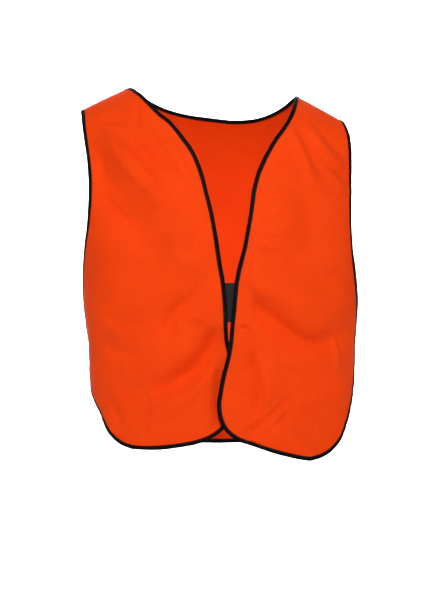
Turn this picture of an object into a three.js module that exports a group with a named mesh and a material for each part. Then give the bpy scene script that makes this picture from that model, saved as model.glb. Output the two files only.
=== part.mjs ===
// Safety vest (tabard) worn open over the shoulders: two front panels, one back
// panel, folded edge binding, two elastic side straps, shoulder seams and a
// hook-and-loop front closure. Millimetres, +Z up, the wearer faces -Y.
import * as THREE from 'three';

// ---------- driving dimensions (mm, degrees) ----------
const PANEL_T = 1.2;            // panel cloth as modelled
const BIND_W = 6.7;             // binding seen on each face
const BIND_WALL = 0.6;          // each wall of the folded binding
const GAP = 0.3;                // clearance between neighbouring solids
const BIND_WEB = 0.8;           // fold of the binding outside the panel's edge
const SEAM_START = 1.0;         // each panel stops this far from the shoulder line
const STRAP_T = 1.4;            // elastic side strap
const STRAP_V0 = 386, STRAP_V1 = 411;   // strap's upper and lower edge below the shoulder
const STRAP_TUCK = 5.0;         // strap reaches this far behind each binding
const SEAM_W = 5.0;             // shoulder seam reach each side of the shoulder line
const SEAM_T = 0.9;
const LAP_OUT = 4.4;            // left front stands this far out where it laps the right
const LAP_IN = 2.6;             // right front sits this far in under it
const TAB_W = 40, TAB_H = 50, TAB_T = 1.2;      // hook tab
const PATCH_W = 17, PATCH_H = 50, PATCH_T = 0.9; // loop patch
const CLOSE_Z = -262;           // height of the closure's middle
const TAB_X0 = 4;               // tab's free edge
const PATCH_X0 = 1.5;           // patch's inner edge
const TAB_CLEAR = 3.5;          // air between patch and tab

// torso the cloth lies on: superelliptic rings, rounded over a sloping shoulder line
const N_RING = 2.5;
const Y_RIDGE = 5;
const DROP_K = 113;
const H_FRONT = 190, P_FRONT = 1.545, H_BACK = 160, P_BACK = 1.5;
const HALF_W = [[0, 205], [60, 203], [150, 192], [250, 182.5], [340, 181.5], [380, 178.5], [410, 175.5], [480, 174.5], [560, 173], [640, 172]];
const CENTRE_X = [[0, 0], [120, 2], [250, 8], [350, 12.5], [560, 14.5], [640, 15]];
const DEPTH_F = [[0, 118], [260, 118], [400, 113], [560, 107], [640, 105]];
const DEPTH_B = [[0, 104], [260, 104], [400, 101], [560, 97], [640, 96]];

// inner edge of the binding on each panel: [distance below the shoulder, angle round the body]
const RIGHT_IN = [[0, -30.2], [34.5, -26.37], [63.7, -22.24], [82.9, -19.25], [98.8, -16.42], [112.9, -12.97], [125.4, -10.71], [137.1, -8.86], [148.2, -7.07], [159.1, -5.67], [174.8, -4.4], [190.2, -3.48], [205.4, -2.85], [220.4, -2.25], [235.4, -1.7], [264.5, -1.05], [295.6, -0.55], [324.8, -0.1], [360, 0.05], [381.5, 0.1], [400.3, 0.25], [420.3, 0.8], [437.6, 1.18], [464.2, 1.28], [484.1, 1.2], [497.3, 0.86], [507.2, 0.16], [514.5, -0.8], [519.8, -2.15], [525.4, -4.6], [530.8, -9.03]];
const RIGHT_OUT = [[0, -51.2], [57.2, -50.6], [94.4, -50.8], [125.2, -51.4], [149.5, -52.1], [171.8, -53.5], [202, -56.3], [222.3, -59.2], [248, -63.6], [269.1, -68.2], [284.7, -71.8], [320, -79.5], [350, -85], [400, -89], [428, -89], [450, -87], [466, -82.5], [478, -76.5], [488, -70], [498, -63.4], [511.6, -56.3], [522.4, -50.9], [532, -44.0], [536.9, -37.4]];
const LEFT_IN = [[0, 29.6], [47.8, 28.2], [74.6, 26.7], [93.8, 24.9], [110.4, 22.9], [125.6, 20.6], [145.5, 17.8], [163.6, 15.4], [180.5, 13.45], [199.4, 12.0], [217.8, 11.1], [236, 10.15], [254, 9.1], [274.7, 7.8], [290.3, 6.6], [306.1, 5.45], [324.8, 4.46], [343.7, 3.95], [360, 3.6], [376.1, 3.15], [397.6, 2.8], [413.6, 2.3], [429.6, 1.6], [445.6, 0.85], [464.2, 0.25], [482.8, -0.03], [496, 0.05], [506.6, 0.45], [514.5, 1.25], [521.7, 2.9], [527.7, 5.5], [532.6, 9.3]];
const LEFT_OUT = [[0, 50.6], [22.9, 52.5], [45.8, 54.7], [71.2, 56.7], [101.9, 59.2], [138.2, 61.8], [182.5, 64.2], [216.7, 66.0], [249.3, 67.3], [283.4, 68.0], [310, 69.6], [340, 72.4], [375, 75.8], [400, 77.4], [430, 77.3], [450, 75.4], [469.7, 72.0], [483, 69.1], [494.9, 66.2], [508, 62.6], [521.1, 58.9], [530.2, 55.3], [537.1, 51.4], [544.1, 46.6], [549.8, 40.6], [552.2, 35.2]];
// back panel, angle measured from the centre of the back
const BACK_R_OUT = [[0, -51.2], [50, -50.4], [94, -50.2], [125, -50.6], [150, -51.2], [172, -52.2], [202, -54.2], [248, -58.6], [285, -63], [320, -66.2], [360, -68.8], [400, -69.8], [430, -69.6], [460, -67.6], [480, -64.8], [500, -60.6], [514, -56.2], [526, -50.6], [534, -44.4], [537.5, -37.5]];
const BACK_L_OUT = [[0, 50.6], [50, 51.6], [94, 53.6], [125, 55.6], [150, 57.8], [172, 60.2], [202, 63.8], [248, 70.2], [285, 75.6], [320, 79.8], [360, 82.6], [400, 83.6], [430, 83.0], [460, 80.2], [480, 76.2], [500, 70.4], [514, 64.8], [526, 58.2], [534, 51.6], [537.5, 44.5]];
const BACK_NECK_R = -30.2, BACK_NECK_L = 29.6, BACK_NECK_DROP = 97, BACK_NECK_P = 2.4, BACK_NECK_Q = 0.72;

// ---------- small helpers ----------
const D = Math.PI / 180;
const add = (a, b, k = 1) => [a[0] + b[0] * k, a[1] + b[1] * k, a[2] + b[2] * k];
const sub = (a, b) => [a[0] - b[0], a[1] - b[1], a[2] - b[2]];
const dot = (a, b) => a[0] * b[0] + a[1] * b[1] + a[2] * b[2];
const cross = (a, b) => [a[1] * b[2] - a[2] * b[1], a[2] * b[0] - a[0] * b[2], a[0] * b[1] - a[1] * b[0]];
const unit = (a) => { const l = Math.hypot(...a) || 1; return [a[0] / l, a[1] / l, a[2] / l]; };
const smooth = (u) => { u = Math.min(1, Math.max(0, u)); return u * u * (3 - 2 * u); };
const clamp = (x, a, b) => Math.min(b, Math.max(a, x));

function interp(tab, t) {      // monotone cubic through the table
  const n = tab.length;
  t = clamp(t, tab[0][0], tab[n - 1][0]);
  let i = 0; while (i < n - 2 && t > tab[i + 1][0]) i++;
  const d = (k) => (tab[k + 1][1] - tab[k][1]) / (tab[k + 1][0] - tab[k][0]);
  const m = (k) => { if (k === 0) return d(0); if (k === n - 1) return d(n - 2);
    const a = d(k - 1), b = d(k); return a * b > 0 ? 2 * a * b / (a + b) : 0; };
  const h = tab[i + 1][0] - tab[i][0], u = (t - tab[i][0]) / h;
  return tab[i][1] * (1 + 2 * u) * (1 - u) ** 2 + m(i) * h * u * (1 - u) ** 2
    + tab[i + 1][1] * u * u * (3 - 2 * u) + m(i + 1) * h * u * u * (u - 1);
}

// ---------- the surface the cloth lies on ----------
function ridge(x) {            // height of the shoulder line
  let z = x < 0 ? 21.0 - 0.51 * (-x - 115) : 10.6 - 0.57 * (x - 113.5);
  const cap = 28 + 8 * smooth((45 - x) / 90), k = 10;
  z = -k * Math.log(Math.exp(-z / k) + Math.exp(-cap / k));
  const ex = Math.max(Math.abs(x) - 176, 0);
  return z - ex * ex * 0.02;
}
const curve = (z, H, P) => Math.sqrt(Math.max(0, 1 - clamp(1 - z / H, 0, 1) ** P));
function place(s, c, v) {      // s across, c front (+) or back (-)
  const x = interp(CENTRE_X, v) + interp(HALF_W, v) * s;
  const drop = v * v / (v + DROP_K);
  const z = ridge(x) * (1 - smooth(v / 330)) - drop;
  const y = c >= 0 ? Y_RIDGE - interp(DEPTH_F, v) * curve(drop, H_FRONT, P_FRONT) * c
    : Y_RIDGE - interp(DEPTH_B, v) * curve(drop, H_BACK, P_BACK) * c;
  return [x, y, z];
}
const pw = (a) => Math.sign(a) * Math.abs(a) ** (2 / N_RING);
const onFront = (a, v) => place(pw(Math.sin(a * D)), pw(Math.cos(a * D)), v);
const onBack = (a, v) => place(pw(Math.sin(a * D)), -pw(Math.cos(a * D)), v);
function normal(f, a, v) {     // outward
  const da = sub(f(a + 0.02, v), f(a - 0.02, v));
  const dv = sub(f(a, v + 0.05), f(a, Math.max(v - 0.05, 0.02)));
  let n = unit(cross(da, dv));
  if (f === onFront || f.front) n = [-n[0], -n[1], -n[2]];
  return n;
}
const mid = [0, 0, -250];
function sample(f, a, v, off = 0) {
  let n = normal(f, a, v);
  const p = f(a, v);
  const outward = [p[0] - mid[0], p[1] - Y_RIDGE, Math.max(0, p[2] + 40) * 3];
  if (dot(n, outward) < 0) n = [-n[0], -n[1], -n[2]];
  return { p: add(p, n, off), n };
}

// ---------- solids ----------
function toMesh(name, pos, tris, material) {
  // keep the faces pointing out of the solid
  let vol = 0;
  for (const [a, b, c] of tris) vol += dot(pos[a], cross(pos[b], pos[c])) / 6;
  const arr = new Float32Array(tris.length * 9);
  tris.forEach((t, i) => {
    const q = vol < 0 ? [t[0], t[2], t[1]] : t;
    q.forEach((k, j) => arr.set(pos[k], i * 9 + j * 3));
  });
  const g = new THREE.BufferGeometry();
  g.setAttribute('position', new THREE.BufferAttribute(arr, 3));
  g.computeVertexNormals();
  const m = new THREE.Mesh(g, material());
  m.name = name;
  return m;
}
function thicken(name, pts, faces, half, material) {   // pts {p,n}; faces triangles
  const n = pts.length, pos = [];
  for (const q of pts) pos.push(add(q.p, q.n, half));
  for (const q of pts) pos.push(add(q.p, q.n, -half));
  const tris = [], used = new Map();
  for (const [a, b, c] of faces) {
    tris.push([a, b, c], [a + n, c + n, b + n]);
    for (const [i, j] of [[a, b], [b, c], [c, a]]) used.set(i + '_' + j, [i, j]);
  }
  for (const [k, [i, j]] of used) if (!used.has(j + '_' + i)) tris.push([j, i, i + n], [j, i + n, j + n]);
  return toMesh(name, pos, tris, material);
}
function frames(path, startT, endT) {   // tangent and outward direction at each edge station
  return path.map((q, k) => {
    let t = k === 0 ? sub(path[1].p, path[0].p) : k === path.length - 1 ? sub(path[k].p, path[k - 1].p)
      : add(unit(sub(path[k + 1].p, path[k].p)), unit(sub(path[k].p, path[k - 1].p)));
    if (k === 0 && startT) t = startT;
    if (k === path.length - 1 && endT) t = endT;
    t = unit(add(t, q.n, -dot(t, q.n)));
    return { p: q.p, n: q.n, t, o: cross(t, q.n) };
  });
}
function binding(name, fr, material) {   // folded tape round the panel's edge
  const h1 = PANEL_T / 2 + GAP, h2 = h1 + BIND_WALL, w = BIND_W, s = BIND_W - BIND_WEB;
  const sec = [[0, h2], [w - 0.5, h2], [w, h2 - 0.5], [w, -h2 + 0.5], [w - 0.5, -h2], [0, -h2], [0, -h1], [s, -h1], [s, h1], [0, h1]];
  const m = sec.length, pos = [], tris = [];
  for (const f of fr) for (const [o, n] of sec) pos.push(add(add(f.p, f.o, o), f.n, n));
  for (let k = 0; k < fr.length - 1; k++) for (let j = 0; j < m; j++) {
    const a = k * m + j, b = k * m + (j + 1) % m, c = a + m, d = b + m;
    if (sec[j][0] < sec[(j + 1) % m][0]) tris.push([a, b, c], [b, d, c]); else tris.push([a, b, d], [a, d, c]);
  }
  const cap = [[0, 1, 9], [1, 8, 9], [1, 2, 8], [2, 3, 8], [3, 7, 8], [3, 4, 7], [4, 5, 7], [5, 6, 7]];
  const e = (fr.length - 1) * m;
  for (const [a, b, c] of cap) { tris.push([a, c, b]); tris.push([e + a, e + b, e + c]); }
  return toMesh(name, pos, tris, material);
}

// ---------- materials ----------
const cloth = () => new THREE.MeshStandardMaterial({ color: 0xe8430f, roughness: 0.9, metalness: 0, side: THREE.DoubleSide });
const black = () => new THREE.MeshStandardMaterial({ color: 0x151416, roughness: 0.9, metalness: 0, side: THREE.DoubleSide });
const elastic = () => new THREE.MeshStandardMaterial({ color: 0x1c1b1d, roughness: 0.9, metalness: 0, side: THREE.DoubleSide });
const hook = () => new THREE.MeshStandardMaterial({ color: 0x272527, roughness: 0.9, metalness: 0, side: THREE.DoubleSide });

const vest = new THREE.Group();
vest.name = 'vest';

// ---------- panels ----------
const ROWS_F = [0, 0.02, 0.05, 0.09, 0.135, 0.185, 0.235, 0.285, 0.335, 0.385, 0.435, 0.485, 0.535, 0.585, 0.635, 0.685, 0.735, 0.78, 0.82, 0.855, 0.885, 0.912, 0.935, 0.955, 0.972, 0.986, 0.995, 1];
const COLS_F = 11, COLS_B = 22;

// where the fronts lap below the closure the left lies outside the right
const lap = (v) => smooth((v - 376) / 40);
const TUCK_IN = [[440, 0], [465, 1.2], [478, 3], [488, 5.2], [500, 8], [515, 10.5], [540, 12]];
// the right front's lower outer corner curls in towards the body
const rightOff = (a, v) => -LAP_IN * lap(v) * smooth((a + 20) / 15) - interp(TUCK_IN, v) * smooth((-a - 52) / 24);
const leftOff = (a, v) => LAP_OUT * lap(v) * smooth((24 - a) / 17);

function grid(rows, cols, at) {
  const pts = [], id = (i, j) => i * (cols + 1) + j, faces = [];
  for (let i = 0; i < rows.length; i++) for (let j = 0; j <= cols; j++) pts.push(at(rows[i], j / cols));
  for (let i = 0; i < rows.length - 1; i++) for (let j = 0; j < cols; j++) {
    const a = id(i, j), b = id(i, j + 1), c = id(i + 1, j), d = id(i + 1, j + 1);
    if ((i + j) % 2) faces.push([a, c, d], [a, d, b]); else faces.push([a, c, b], [b, c, d]);
  }
  return { pts, faces, id };
}
function rim(panel, loop, fr) {    // cloth that runs on inside the binding
  const w = BIND_W - BIND_WEB - 0.4, base = panel.pts.length;
  fr.forEach((f) => panel.pts.push({ p: add(f.p, f.o, w), n: f.n }));
  for (let k = 0; k < loop.length - 1; k++) {
    const a = loop[k], b = loop[k + 1], c = base + k, d = base + k + 1;
    panel.faces.push([b, a, c], [b, c, d]);
  }
}
function orient(panel, flip) { if (flip) panel.faces = panel.faces.map(([a, b, c]) => [a, c, b]); }

function makeFront(side, tabIn, tabOut, offset) {
  const v1in = tabIn[tabIn.length - 1][0], v1out = tabOut[tabOut.length - 1][0];
  const rows = ROWS_F;
  const g = grid(rows, COLS_F, (t, u) => {
    const vi = SEAM_START + t * (v1in - SEAM_START), vo = SEAM_START + t * (v1out - SEAM_START);
    const ai = interp(tabIn, vi), ao = interp(tabOut, vo);
    const w = u, sag = 4 * u * (1 - u) * smooth((t - 0.6) / 0.4) * 3;
    return sample(onFront, ai + (ao - ai) * w, vi + (vo - vi) * w + sag, offset(ai + (ao - ai) * w, vi + (vo - vi) * w));
  });
  const R = rows.length - 1, loop = [];
  for (let i = 0; i <= R; i++) loop.push(g.id(i, 0));
  for (let j = 1; j <= COLS_F; j++) loop.push(g.id(R, j));
  for (let i = R - 1; i >= 0; i--) loop.push(g.id(i, COLS_F));
  const path = loop.map((k) => g.pts[k]);
  const fr = frames(path, [0, -1, 0], [0, 1, 0]);
  // outward direction must leave the panel
  const centre = g.pts[g.id(Math.floor(R / 2), Math.floor(COLS_F / 2))].p;
  const s = dot(fr[12].o, sub(fr[12].p, centre)) < 0 ? -1 : 1;
  if (s < 0) fr.forEach((f) => { f.o = [-f.o[0], -f.o[1], -f.o[2]]; });
  rim(g, loop, fr);
  vest.add(thicken('front_panel_' + side, g.pts, g.faces, PANEL_T / 2, cloth));
  // binding in three runs, joined just above each lower corner and at the hem's ends
  const kA = R, kB = R + COLS_F, cut = 0.0;
  const run = (a, b, name) => {
    const part = fr.slice(a, b + 1).map((f) => ({ ...f, p: [...f.p] }));
    const trim = (f, g2, sgn) => { f.p = add(f.p, unit(sub(g2.p, f.p)), sgn); };
    if (a > 0) trim(part[0], part[1], GAP / 2 + cut);
    if (b < fr.length - 1) trim(part[part.length - 1], part[part.length - 2], GAP / 2 + cut);
    vest.add(binding(name, part, black));
  };
  run(0, kA, 'binding_' + side + '_front_edge');
  run(kA, kB, 'binding_' + side + '_hem');
  run(kB, fr.length - 1, 'binding_' + side + '_armhole');
  return { g, fr };
}
makeFront('right', RIGHT_IN, RIGHT_OUT, rightOff);
makeFront('left', LEFT_IN, LEFT_OUT, leftOff);

// back panel: columns between the two side edges, scooped at the neck
const ROWS_B = [0, 0.02, 0.05, 0.09, 0.135, 0.185, 0.24, 0.30, 0.36, 0.42, 0.48, 0.54, 0.60, 0.66, 0.715, 0.765, 0.81, 0.85, 0.885, 0.915, 0.94, 0.962, 0.98, 0.993, 1];
const SHARE = [0, 0.333, 0.667, 1];   // columns on each shoulder
const COLU = [];                      // -1..1 across, the neck points fall on columns
{
  const sh = 4, nk = 14;
  for (let j = 0; j <= sh; j++) COLU.push({ zone: 'R', u: j / sh });
  for (let j = 1; j < nk; j++) COLU.push({ zone: 'N', u: -Math.cos(Math.PI * j / nk) });
  for (let j = 0; j <= sh; j++) COLU.push({ zone: 'L', u: j / sh });
}
const NB = COLU.length - 1;
function backAngle(col, v) {
  const r = interp(BACK_R_OUT, v), l = interp(BACK_L_OUT, v);
  // neck columns keep their place in the width as the panel widens
  const r0 = interp(BACK_R_OUT, 0), l0 = interp(BACK_L_OUT, 0);
  const fr = (BACK_NECK_R - r0) / (l0 - r0), fl = (BACK_NECK_L - r0) / (l0 - r0);
  const s = col.zone === 'R' ? fr * col.u : col.zone === 'L' ? fl + (1 - fl) * col.u : fr + (fl - fr) * (col.u + 1) / 2;
  return r + (l - r) * s;
}
const neckDrop = (col) => col.zone === 'N' ? BACK_NECK_DROP * (1 - Math.abs(col.u) ** BACK_NECK_P) ** BACK_NECK_Q : 0;
const V1B = BACK_R_OUT[BACK_R_OUT.length - 1][0];
const gb = (() => {
  const pts = [], id = (i, j) => i * (NB + 1) + j, faces = [];
  for (const t of ROWS_B) for (let j = 0; j <= NB; j++) {
    const top = SEAM_START + neckDrop(COLU[j]);
    const v = top + t * (V1B - top);
    const sag = 3 * (1 - ((j / NB) * 2 - 1) ** 2) * smooth((t - 0.6) / 0.4);
    pts.push(sample(onBack, backAngle(COLU[j], v), v + sag));
  }
  for (let i = 0; i < ROWS_B.length - 1; i++) for (let j = 0; j < NB; j++) {
    const a = id(i, j), b = id(i, j + 1), c = id(i + 1, j), d = id(i + 1, j + 1);
    if ((i + j) % 2) faces.push([a, c, d], [a, d, b]); else faces.push([a, c, b], [b, c, d]);
  }
  return { pts, faces, id };
})();
{
  const RB = ROWS_B.length - 1, jR = 4, jL = NB - 4;
  // side and hem loop: right shoulder down, hem, up to the left shoulder
  const loop = [];
  for (let i = 0; i <= RB; i++) loop.push(gb.id(i, 0));
  for (let j = 1; j <= NB; j++) loop.push(gb.id(RB, j));
  for (let i = RB - 1; i >= 0; i--) loop.push(gb.id(i, NB));
  const fr = frames(loop.map((k) => gb.pts[k]), [0, 1, 0], [0, -1, 0]);
  const c0 = gb.pts[gb.id(12, 11)].p;
  if (dot(fr[12].o, sub(fr[12].p, c0)) < 0) fr.forEach((f) => { f.o = [-f.o[0], -f.o[1], -f.o[2]]; });
  // neck loop
  const nloop = []; for (let j = jR; j <= jL; j++) nloop.push(gb.id(0, j));
  const nf = frames(nloop.map((k) => gb.pts[k]), [0, 1, 0], [0, -1, 0]);
  if (dot(nf[7].o, sub(nf[7].p, c0)) < 0) nf.forEach((f) => { f.o = [-f.o[0], -f.o[1], -f.o[2]]; });
  rim(gb, loop, fr); rim(gb, [...nloop].reverse(), [...nf].reverse());
  vest.add(thicken('back_panel', gb.pts, gb.faces, PANEL_T / 2, cloth));
  const run = (arr, a, b, name) => {
    const part = arr.slice(a, b + 1).map((f) => ({ ...f, p: [...f.p] }));
    if (a > 0) part[0].p = add(part[0].p, unit(sub(part[1].p, part[0].p)), GAP / 2);
    const e = part.length - 1;
    if (b < arr.length - 1) part[e].p = add(part[e].p, unit(sub(part[e - 1].p, part[e].p)), GAP / 2);
    vest.add(binding(name, part, black));
  };
  run(fr, 0, RB, 'binding_back_right_armhole');
  run(fr, RB, RB + NB, 'binding_back_hem');
  run(fr, RB + NB, fr.length - 1, 'binding_back_left_armhole');
  run(nf, 0, nf.length - 1, 'binding_back_neck');
}

// ---------- elastic side straps, sewn behind the two side bindings ----------
const around = (side) => (a, v) => {   // one angle that runs from the front round to the back
  const s = pw(Math.sin(a * D)), c = pw(Math.cos(a * D));
  return place(s, c, v);
};
function strap(side) {
  const sg = side === 'right' ? -1 : 1;
  const fo = side === 'right' ? RIGHT_OUT : LEFT_OUT, bo = side === 'right' ? BACK_R_OUT : BACK_L_OUT;
  const f = around(side), rows = 4, cols = 7, pts = [], faces = [];
  const off = -(PANEL_T / 2 + GAP + BIND_WALL + GAP + STRAP_T / 2) - 0.1;
  for (let i = 0; i <= rows; i++) {
    const v = STRAP_V0 + (STRAP_V1 - STRAP_V0) * i / rows;
    // angle of each panel's edge at this height, then tuck behind the binding
    const a0 = interp(fo, v), b0 = sg * 180 - interp(bo, v);
    const mmF = Math.hypot(...sub(f(a0 + sg, v), f(a0, v))), mmB = Math.hypot(...sub(f(b0 + sg, v), f(b0, v)));
    const a = a0 + sg * (BIND_W - STRAP_TUCK) / mmF, b = b0 - sg * (BIND_W - STRAP_TUCK) / mmB;
    for (let j = 0; j <= cols; j++) pts.push(sample(f, a + (b - a) * j / cols, v, off));
  }
  const id = (i, j) => i * (cols + 1) + j;
  for (let i = 0; i < rows; i++) for (let j = 0; j < cols; j++) {
    const a = id(i, j), b = id(i, j + 1), c = id(i + 1, j), d = id(i + 1, j + 1);
    faces.push([a, c, d], [a, d, b]);
  }
  vest.add(thicken('strap_' + side, pts, faces, STRAP_T / 2, elastic));
}
strap('right'); strap('left');

// ---------- shoulder seams: the turned allowance under the shoulder line ----------
function seam(side) {
  const a0 = side === 'right' ? -50.2 : 30.4, a1 = side === 'right' ? -31.2 : 49.8;
  const cols = 6, pts = [], faces = [], ys = [-SEAM_W, -2.5, 0, 2.5, SEAM_W];
  const off = -(PANEL_T / 2 + GAP + SEAM_T / 2);
  for (const w of ys) for (let j = 0; j <= cols; j++) {
    const a = a0 + (a1 - a0) * j / cols, v = Math.max(Math.abs(w), 0.3);
    const q = sample(w <= 0 ? onFront : onBack, a, v, 0);
    pts.push({ p: add(q.p, q.n, off), n: q.n });
  }
  const id = (i, j) => i * (cols + 1) + j;
  for (let i = 0; i < ys.length - 1; i++) for (let j = 0; j < cols; j++) {
    const a = id(i, j), b = id(i, j + 1), c = id(i + 1, j), d = id(i + 1, j + 1);
    faces.push([a, c, d], [a, d, b]);
  }
  vest.add(thicken('shoulder_seam_' + side, pts, faces, SEAM_T / 2, cloth));
}
seam('right'); seam('left');

// ---------- hook-and-loop closure ----------
function plate(name, w, h, t, cx, cy, cz, tilt, yaw, material) {
  const g = new THREE.BoxGeometry(w, t, h);
  const m = new THREE.Mesh(g, material());
  const q = new THREE.Matrix4().makeRotationX(tilt).multiply(new THREE.Matrix4().makeRotationZ(yaw));
  q.setPosition(cx, cy, cz);
  g.applyMatrix4(q);
  m.name = name;
  vest.add(m);
}
const CLOSE_TILT = 0.034, CLOSE_YAW = 0;
const yAt = (x, z) => {        // front surface under a point
  let v = 345, a = (x - 12.5) * 0.2;
  for (let k = 0; k < 40; k++) { const p = onFront(a, v); v += (p[2] - z); const dx = onFront(a + 0.5, v)[0] - p[0]; a += (x - p[0]) * 0.5 / dx * 0.7; }
  return onFront(a, v)[1];
};
const backOfBinding = PANEL_T / 2 + GAP + BIND_WALL + GAP;
const patchY = yAt(PATCH_X0 + PATCH_W / 2, CLOSE_Z) + backOfBinding + PATCH_T / 2 + 0.4;
plate('closure_loop_patch', PATCH_W, PATCH_H, PATCH_T, PATCH_X0 + PATCH_W / 2, patchY, CLOSE_Z, CLOSE_TILT, CLOSE_YAW, hook);
const tabY = patchY + PATCH_T / 2 + TAB_CLEAR + TAB_T / 2;
plate('closure_hook_tab', TAB_W, TAB_H, TAB_T, TAB_X0 + TAB_W / 2, tabY, CLOSE_Z, CLOSE_TILT, CLOSE_YAW, hook);

export default vest;
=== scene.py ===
"""Orange safety vest: woven panels with folds, taped edges, stitching, elastic side
straps and a hook-and-loop closure. Metres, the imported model's own frame."""
import bpy
import bmesh
import math

import numpy as np
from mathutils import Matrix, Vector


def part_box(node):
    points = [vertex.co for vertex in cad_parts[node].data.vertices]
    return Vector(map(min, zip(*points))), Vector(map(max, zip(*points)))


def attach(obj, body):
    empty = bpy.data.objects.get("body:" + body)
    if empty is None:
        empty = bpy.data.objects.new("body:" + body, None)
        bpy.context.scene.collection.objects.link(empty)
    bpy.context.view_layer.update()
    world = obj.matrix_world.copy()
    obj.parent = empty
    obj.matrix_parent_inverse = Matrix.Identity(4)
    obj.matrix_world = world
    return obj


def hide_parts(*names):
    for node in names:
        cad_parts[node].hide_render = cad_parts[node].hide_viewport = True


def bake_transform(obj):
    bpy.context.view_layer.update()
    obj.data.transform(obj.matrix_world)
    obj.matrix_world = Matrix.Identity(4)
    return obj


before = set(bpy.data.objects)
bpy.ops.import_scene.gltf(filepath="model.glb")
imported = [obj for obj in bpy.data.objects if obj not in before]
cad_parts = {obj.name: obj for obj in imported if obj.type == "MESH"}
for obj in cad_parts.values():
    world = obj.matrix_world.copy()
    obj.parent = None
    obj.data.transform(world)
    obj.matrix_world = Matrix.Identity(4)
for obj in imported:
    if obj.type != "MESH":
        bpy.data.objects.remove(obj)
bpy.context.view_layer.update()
MM = 0.001

bpy.context.scene.view_settings.view_transform = "Standard"

# ---------------------------------------------------------------- camera
cam_data = bpy.data.cameras.new("camera")
cam = bpy.data.objects.new("camera", cam_data)
bpy.context.scene.collection.objects.link(cam)
cam.location = (0.0112, -3.0, -0.2587)
cam.rotation_euler = (math.radians(90), 0, 0)
cam_data.sensor_width = 36
cam_data.lens = 136.36
cam_data.clip_end = 50
bpy.context.scene.camera = cam

# ---------------------------------------------------------------- the surface the cloth lies on (mm)
N_RING, Y_RIDGE, DROP_K = 2.5, 5.0, 113.0
H_FRONT, P_FRONT, H_BACK, P_BACK = 190.0, 1.545, 160.0, 1.5
HALF_W = [(0, 205), (60, 203), (150, 192), (250, 182.5), (340, 181.5), (380, 178.5), (410, 175.5), (480, 174.5), (560, 173), (640, 172)]
CENTRE_X = [(0, 0), (120, 2), (250, 8), (350, 12.5), (560, 14.5), (640, 15)]
DEPTH_F = [(0, 118), (260, 118), (400, 113), (560, 107), (640, 105)]
DEPTH_B = [(0, 104), (260, 104), (400, 101), (560, 97), (640, 96)]
RIGHT_IN = [(0, -30.2), (34.5, -26.37), (63.7, -22.24), (82.9, -19.25), (98.8, -16.42), (112.9, -12.97), (125.4, -10.71), (137.1, -8.86), (148.2, -7.07), (159.1, -5.67), (174.8, -4.4), (190.2, -3.48), (205.4, -2.85), (220.4, -2.25), (235.4, -1.7), (264.5, -1.05), (295.6, -0.55), (324.8, -0.1), (360, 0.05), (381.5, 0.1), (400.3, 0.25), (420.3, 0.8), (437.6, 1.18), (464.2, 1.28), (484.1, 1.2), (497.3, 0.86), (507.2, 0.16), (514.5, -0.8), (519.8, -2.15), (525.4, -4.6), (530.8, -9.03)]
RIGHT_OUT = [(0, -51.2), (57.2, -50.6), (94.4, -50.8), (125.2, -51.4), (149.5, -52.1), (171.8, -53.5), (202, -56.3), (222.3, -59.2), (248, -63.6), (269.1, -68.2), (284.7, -71.8), (320, -79.5), (350, -85), (400, -89), (428, -89), (450, -87), (466, -82.5), (478, -76.5), (488, -70), (498, -63.4), (511.6, -56.3), (522.4, -50.9), (532, -44.0), (536.9, -37.4)]
LEFT_IN = [(0, 29.6), (47.8, 28.2), (74.6, 26.7), (93.8, 24.9), (110.4, 22.9), (125.6, 20.6), (145.5, 17.8), (163.6, 15.4), (180.5, 13.45), (199.4, 12.0), (217.8, 11.1), (236, 10.15), (254, 9.1), (274.7, 7.8), (290.3, 6.6), (306.1, 5.45), (324.8, 4.46), (343.7, 3.95), (360, 3.6), (376.1, 3.15), (397.6, 2.8), (413.6, 2.3), (429.6, 1.6), (445.6, 0.85), (464.2, 0.25), (482.8, -0.03), (496, 0.05), (506.6, 0.45), (514.5, 1.25), (521.7, 2.9), (527.7, 5.5), (532.6, 9.3)]
LEFT_OUT = [(0, 50.6), (22.9, 52.5), (45.8, 54.7), (71.2, 56.7), (101.9, 59.2), (138.2, 61.8), (182.5, 64.2), (216.7, 66.0), (249.3, 67.3), (283.4, 68.0), (310, 69.6), (340, 72.4), (375, 75.8), (400, 77.4), (430, 77.3), (450, 75.4), (469.7, 72.0), (483, 69.1), (494.9, 66.2), (508, 62.6), (521.1, 58.9), (530.2, 55.3), (537.1, 51.4), (544.1, 46.6), (549.8, 40.6), (552.2, 35.2)]
BACK_R_OUT = [(0, -51.2), (50, -50.4), (94, -50.2), (125, -50.6), (150, -51.2), (172, -52.2), (202, -54.2), (248, -58.6), (285, -63), (320, -66.2), (360, -68.8), (400, -69.8), (430, -69.6), (460, -67.6), (480, -64.8), (500, -60.6), (514, -56.2), (526, -50.6), (534, -44.4), (537.5, -37.5)]
BACK_L_OUT = [(0, 50.6), (50, 51.6), (94, 53.6), (125, 55.6), (150, 57.8), (172, 60.2), (202, 63.8), (248, 70.2), (285, 75.6), (320, 79.8), (360, 82.6), (400, 83.6), (430, 83.0), (460, 80.2), (480, 76.2), (500, 70.4), (514, 64.8), (526, 58.2), (534, 51.6), (537.5, 44.5)]
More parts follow.
